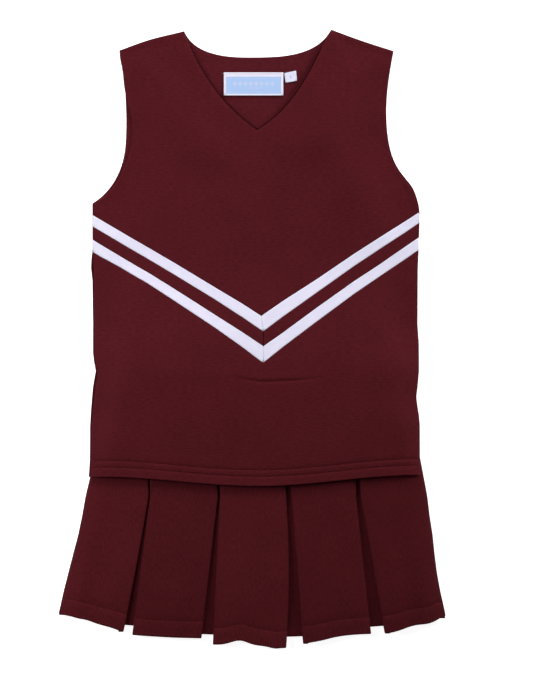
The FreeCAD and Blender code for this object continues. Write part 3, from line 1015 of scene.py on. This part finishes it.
def settle(down):
    """How much lower a front panel lies than at the waistband, at a distance down from it."""
    return MM * (0.9 * smooth((down - 40 * MM) / (170 * MM)) + 1.6 * smooth((down - 160 * MM) / (50 * MM)))


def panel_height(i, side, u, down, gap_left, gap_right):
    """Mid height of a panel: flat at the top, with soft ridges and edges that settle near the hem."""
    flare = smooth((down - 40 * MM) / (170 * MM))
    shape = MM * flare * sum(h * hill((u - at) / width) for at, width, h in RIDGES[i])
    if side == "back":
        z, press, outer = BACK_PANEL_Z + 0.25 * shape, 0, SEAM_Z_SKIRT - BACK_PANEL_Z
    else:
        z, press, outer = PANEL_Z - settle(down) + shape, 0.6 * MM, SEAM_Z_SKIRT - PANEL_Z
    for gap, seamed in ((gap_left, 1), (gap_right, 5)):
        drop, reach = (-outer, 20 * MM) if i == seamed else (press, 3 * MM)
        z = z - drop * (1 - roll(gap / reach))
    return z


def panel_section(count, fold_left, fold_right):
    """Points across a panel and round its folds, as (share of the flat part, step beyond it, drop)."""
    r = FOLD_RADIUS
    edge = [(0, d - OPEN_EDGE, 0) for d in (0, 0.3 * MM, 0.9 * MM, 1.8 * MM, 3.2 * MM)]
    fold = [(0, d, FOLD_STEP) for d in (3.2 * MM, 2.9 * MM, 2.3 * MM, 1.2 * MM, 0)]
    bend = np.radians([30, 60, 90, 120, 150])
    fold += [(0, -r * math.sin(a), r + r * math.cos(a)) for a in bend]
    left = fold if fold_left else edge
    right = [(1, -step, drop) for _, step, drop in reversed(fold if fold_right else edge)]
    return np.array(left + [(share, 0, 0) for share in np.linspace(0, 1, count)] + right)


def build_panel(side, i):
    """One panel from the waistband to its hem, with the folds at its edges."""
    left, right, hem = pleat_lines(side, i)
    length = WAISTBAND_LOW - hem[:, 1].mean()
    section = panel_section(17, i > 1, i < 5)
    under = 1 if side == "front" else -1
    rows, uvs = [], []
    downs = rows_down(length)
    for down in downs:
        v = down / length
        share = section[:, 0]
        y_left, y_right = (WAISTBAND_LOW + (edge[-1, 1] - WAISTBAND_LOW) * v for edge in (left, right))
        y = y_left + (y_right - y_left) * share
        chord = hem[0, 1] + (hem[-1, 1] - hem[0, 1]) * share
        y = y + (hem_height(i, hem, share) - chord) * smooth((v - 0.4) / 0.6)
        x_left, x_right = edge_at(left, y) + bow(i, "left", y), edge_at(right, y) + bow(i, "right", y)
        low = x_left + CLOTH / 2 + (FOLD_RADIUS if i > 1 else OPEN_EDGE)
        high = x_right - CLOTH / 2 - (FOLD_RADIUS if i < 5 else OPEN_EDGE)
        x = low + (high - low) * share + section[:, 1]
        u = (x - x_left) / (x_right - x_left)
        z = panel_height(i, side, np.clip(u, 0, 1), down, x - x_left, x_right - x)
        groove = 0.55 * MM * hill((length - down - PLEAT_STITCH_ROW) / (0.9 * MM))
        z = z - under * (section[:, 2] + groove)
        rows.append(np.stack([x, y, z], 1))
        far = np.concatenate([[0], np.cumsum(np.hypot(np.diff(x), np.diff(z)))])
        uvs.append(np.stack([x_left[0] + far, y], 1))
    rows, uvs = np.array(rows), np.array(uvs)
    if side == "back":
        rows, uvs = rows[:, ::-1], uvs[:, ::-1]
    thick = CLOTH * (1 + 0.5 * smooth((downs - length + 17 * MM) / (2 * MM)))[:, None]
    piece = sheet_of_rows(f"{side}_panel_{i}", rows, uvs, thick)
    nodes = [f"{side}_pleat_{i}"] + ([f"{side}_yoke"] if i == 1 else [])
    place_panel(piece, side, i, nodes)
    build_panel_stitches(side, i, rows, downs, length)


def hem_height(i, hem, share):
    """Panel i's hem at shares of the way across, through its corners and middle, with its own waves."""
    at = (hem[:, 0] - hem[0, 0]) / (hem[-1, 0] - hem[0, 0])
    waves = sum(h * MM * hill((share - mid) / width) for mid, width, h in HEM_WAVES.get(i, []))
    return np.polyval(np.polyfit(at, hem[:, 1], 2), share) + waves


def bow(i, edge, y):
    """How far the side edge of panel i bows to the right of a straight line."""
    values = BOWS.get((i, edge), (0, 0))
    t = np.clip((HINGE_Y - y) / (HINGE_Y - SKIRT_HEM_Y), 0, 1)
    return MM * np.interp(t, np.linspace(0, 1, len(values)), values)


def flap_of(side, i):
    """The body that panel i swings with, or None if the panel is fixed to the skirt."""
    name = f"{side}_pleat_{i}_flap"
    return name if name in frame["bodies"] else None


def place_panel(piece, side, i, nodes):
    """Bakes the transform of a panel that has a flap and leaves it unattached, and fixes the others to the
    skirt.
    """
    flap = flap_of(side, i)
    if flap:
        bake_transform(piece)
    body = None if flap else "skirt"
    # The panel's own lighter or darker knit copy paints the light that falls on it.
    finish_piece(piece, PANEL_PAINTED_LIGHT_KNITS[i], body, nodes)


def build_panel_stitches(side, i, rows, downs, length):
    """The hem's stitch row on the outside of a panel."""
    line = rows[int(np.argmin(np.abs(length - downs - PLEAT_STITCH_ROW)))]
    outer = line[np.abs(line[:, 2] - np.median(line[:, 2])) < 6 * MM]
    outer = outer[np.argsort(outer[:, 0])]
    top = outer[2:-2] if i in (1, 5) else outer[8:-8]
    out = 1 if side == "front" else -1
    piece = stitches(f"{side}_panel_{i}_stitches", top + np.array([0, 0, out * (CLOTH * 0.72)]))
    finish_piece(piece, MAROON_THREAD, flap_of(side, i) or "skirt")


def strip(name, edge_a, edge_b, height, y_top, y_a, y_b, turn=None, sag=0.0):
    """A strip of a pleat fold between two side lines, from y_top down. It can turn under at edge_b."""
    length = y_top - min(y_a, y_b)
    rows, uvs = [], []
    shares = np.concatenate([[0, 0.02, 0.06], np.linspace(0.12, 0.88, 7), [0.94, 0.98, 1]])
    for down in rows_down(length, hem_rows=False):
        v = down / length
        ya, yb = y_top + (y_a - y_top) * v, y_top + (y_b - y_top) * v
        y = ya + (yb - ya) * shares
        xa, xb = edge_at(edge_a, ya), edge_at(edge_b, yb)
        x = xa + (xb - xa) * shares
        flare = smooth((HINGE_Y - y) / (110 * MM))
        z = height(y) - sag * flare * np.sin(math.pi * shares)
        if turn:
            x, y, z = turned(x, y, z, turn)
        rows.append(np.stack([x, y, z], 1))
        far = np.concatenate([[0], np.cumsum(np.abs(np.diff(x)) + np.abs(np.diff(z)))])
        uvs.append(np.stack([xa + far, y], 1))
    rows, uvs = np.array(rows), np.array(uvs)
    if rows[0, -1, 0] < rows[0, 0, 0]:
        rows, uvs = rows[:, ::-1], uvs[:, ::-1]
    return sheet_of_rows(name, rows, uvs)


def turned(x, y, z, turn):
    """Adds a U-turn and a short lip at the end of a row. turn is the sense of its drop."""
    sense = 1 if x[-1] > x[0] else -1
    r = FOLD_RADIUS
    angles = np.radians([30, 60, 90, 120, 150, 180])
    cx, cz = x[-1] - sense * r, z[-1] - turn * r
    inner = sense * (x - x[0]) < sense * (cx - x[0])
    bend_x = cx + sense * r * np.sin(angles)
    bend_z = cz + turn * r * np.cos(angles)
    lip = np.array([0.8, 1.6, 2.2, 2.5]) * MM
    x = np.concatenate([x[inner], [cx], bend_x, cx - sense * lip])
    z = np.concatenate([z[inner], [cz + turn * r], bend_z, np.full(len(lip), cz - turn * r)])
    y = np.concatenate([y[inner], np.full(len(x) - inner.sum(), y[-1])])
    return x, y, z


def build_fold(side, g):
    """The cloth behind gap g: a middle underlay that shows, and on each side an underlay and a return."""
    out = 1 if side == "front" else -1
    edges = (pleat_lines(side, g)[1], pleat_lines(side, g + 1)[0])
    ends = fold_ends(side, g)[1]
    depth = edges[0][-1, 0] - ends[0][0]
    near = [edge - np.array([inward_x * SHOWN_UNDERLAY, 0]) for edge, inward_x in zip(edges, (1, -1))]

    def level(steps):
        """The height of the layer that many cloths under the panels."""
        if side == "front":
            return lambda y: PANEL_Z - settle(WAISTBAND_LOW - y) - steps * FOLD_STEP
        return lambda y: BACK_PANEL_Z + steps * FOLD_STEP + 0 * y

    def finish(piece, body):
        node = f"{side}_pleat_fold_{g}"
        # The darker fold knit paints the shade inside the pleat gaps.
        finish_piece(piece, FOLD_SHADED_KNIT, body, [node])

    sag = 1.2 * MM if side == "front" else -0.2 * MM
    top = WAISTBAND_LOW - 2 * MM
    finish(strip(f"{side}_underlay_{g}", *near, level(2), top, ends[0][1], ends[1][1], sag=sag), "skirt")
    for k, word, i, sense in ((0, "left", g, 1), (1, "right", g + 1, -1)):
        edge = edges[k]
        inner = edge - np.array([sense * depth, 0])
        hem = pleat_lines(side, i)[2]
        hem_y = max(ends[k][1], float(np.interp(inner[-1, 0], hem[:, 0], hem[:, 1])) + 2.5 * MM)
        start = HINGE_Y - 0.4 * MM
        lapped = inner + np.array([sense * 1.5 * MM, 0])
        under = strip(f"{side}_underlay_{g}_{word}", near[k], lapped, level(2), start, hem_y, hem_y)
        lip = edge - np.array([sense * 4 * MM, 0])
        edge_hem = edge[-1, 1] + 1.5 * MM
        back = strip(f"{side}_return_{g}_{word}", lip, inner, level(1), start, edge_hem, hem_y, turn=out)
        flap = flap_of(side, i)
        for piece, zero in ((under, near[k]), (back, None)):
            if flap:
                swing(piece)
            finish(piece, None if flap else "skirt")


def swing(piece):
    """Bakes the transform of part of a fold that goes with a flap into its mesh."""
    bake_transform(piece)


def build_waistband():
    """The gathered casing round the elastic, as a closed ring."""
    low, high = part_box("waistband")
    half_wall = (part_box("front_yoke")[1].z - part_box("front_pleat_fold_1")[0].z) / 2
    radius = (high.z - low.z) / 2 - half_wall
    middle_y, middle_z = (low.y + high.y) / 2, (high.z + low.z) / 2
    left, right = low.x + radius + half_wall, high.x - radius - half_wall
    flat, bend = right - left, math.pi * radius
    count = 520
    section = np.radians(np.arange(0, 360, 20))
    points, uvs, faces = [], [], []
    for k in range(count):
        s = 2 * (flat + bend) * k / count
        angle = (min(max(s - flat, 0), bend) + max(s - 2 * flat - bend, 0)) / radius
        x = left + min(s, flat) - min(max(s - flat - bend, 0), flat)
        out = np.array([math.sin(angle), 0, math.cos(angle)])
        spot = np.array([x, middle_y, middle_z]) + radius * out
        turn = 2 * math.pi * k / count
        gather = MM * (0.22 * math.sin(47 * turn + 1.4 * math.sin(5 * turn)) + 0.12 * math.sin(83 * turn))
        for at in section:
            c, d = math.cos(at), math.sin(at)
            across = math.copysign(abs(c) ** 0.45, c) * (half_wall - 0.35 * MM)
            across += gather * math.copysign(1 - 0.5 * abs(d) ** 3, c)
            along = math.copysign(abs(d) ** 0.18, d) * (high.y - low.y) / 2
            points.append(spot + across * out + np.array([0, along, 0]))
            uvs.append((s, middle_y + along))
    n = len(section)
    for k in range(count):
        for m in range(n):
            here, after = k * n, (k + 1) % count * n
            faces.append([here + m, after + m, after + (m + 1) % n, here + (m + 1) % n])
    piece = new_object("waistband_casing", points, faces, uvs)
    finish_piece(piece, SKIRT_KNIT, "skirt", ["waistband"])
    elastic = frame["nodes"]["waist_elastic"]
    elastic.data.materials.clear()
    elastic.data.materials.append(ELASTIC)


def build_side_seams():
    """The skirt's seam allowances, pressed to one side inside it."""
    sizes = (1.4 * MM, 3 * MM, 0.7 * MM)
    level = lambda x, y: SEAM_Z_SKIRT + 0 * x
    for side, i in (("left", 1), ("right", 5)):
        node = f"skirt_side_seam_{side}"
        follow = lambda x, y: np.stack([bow(i, side, y), 0 * y], 1)
        below = ["back_pleat_1"]
        add_cloth(f"{node}_allowance", node, level, FOLD_SHADED_KNIT, "skirt", below, *sizes, shift=follow)


def build_skirt():
    build_waistband()
    for side in ("front", "back"):
        for i in range(1, 6):
            build_panel(side, i)
        for g in range(1, 5):
            build_fold(side, g)
    build_side_seams()


# ---- Studio ----

VIEW_HEIGHT = 0.6464
VIEW_CENTRE = (13.3 * MM, -8.3 * MM)
CAMERA_HEIGHT = 6.0


def build_studio():
    """White paper, two big soft lights beside the garment, one above its neck, and the camera."""
    mesh = bpy.data.meshes.new("studio_floor")
    size = 6.0
    ground = -0.2 * MM
    corners = [(-size, -size, ground), (size, -size, ground), (size, size, ground), (-size, size, ground)]
    mesh.from_pydata(corners, [], [[0, 1, 2, 3]])
    mesh.materials.append(floor_material())
    added("studio_floor", mesh)

    world = bpy.data.worlds.new("studio")
    world.use_nodes = True
    world.node_tree.nodes["Background"].inputs[0].default_value = (1, 1, 1, 1)
    world.node_tree.nodes["Background"].inputs[1].default_value = 0.08
    bpy.context.scene.world = world

    for name, place, power, width in (
        ("light_left", (-0.71, 0.09, 0.62), 5.2, 0.4),
        ("light_right", (1.29, 0.83, 0.71), 19.0, 0.5),
        ("light_top", (-0.06, 1.58, 0.64), 15.2, 0.5),
    ):
        light = bpy.data.lights.new(name, "AREA")
        light.shape = "SQUARE"
        light.size = width
        light.energy = power
        lamp = added(name, light)
        lamp.location = place
        lamp.rotation_euler = (-Vector(place)).to_track_quat("-Z", "Y").to_euler()

    camera = bpy.data.cameras.new("camera")
    camera.sensor_width = 36
    camera.lens = 36 * CAMERA_HEIGHT / VIEW_HEIGHT
    camera.clip_end = 50
    eye = added("camera", camera)
    eye.location = (*VIEW_CENTRE, CAMERA_HEIGHT + 12 * MM)
    bpy.context.scene.camera = eye
    bpy.context.scene.view_settings.view_transform = "Standard"


build_studio()
build_top()
build_seam_lines()
build_labels()
build_skirt()
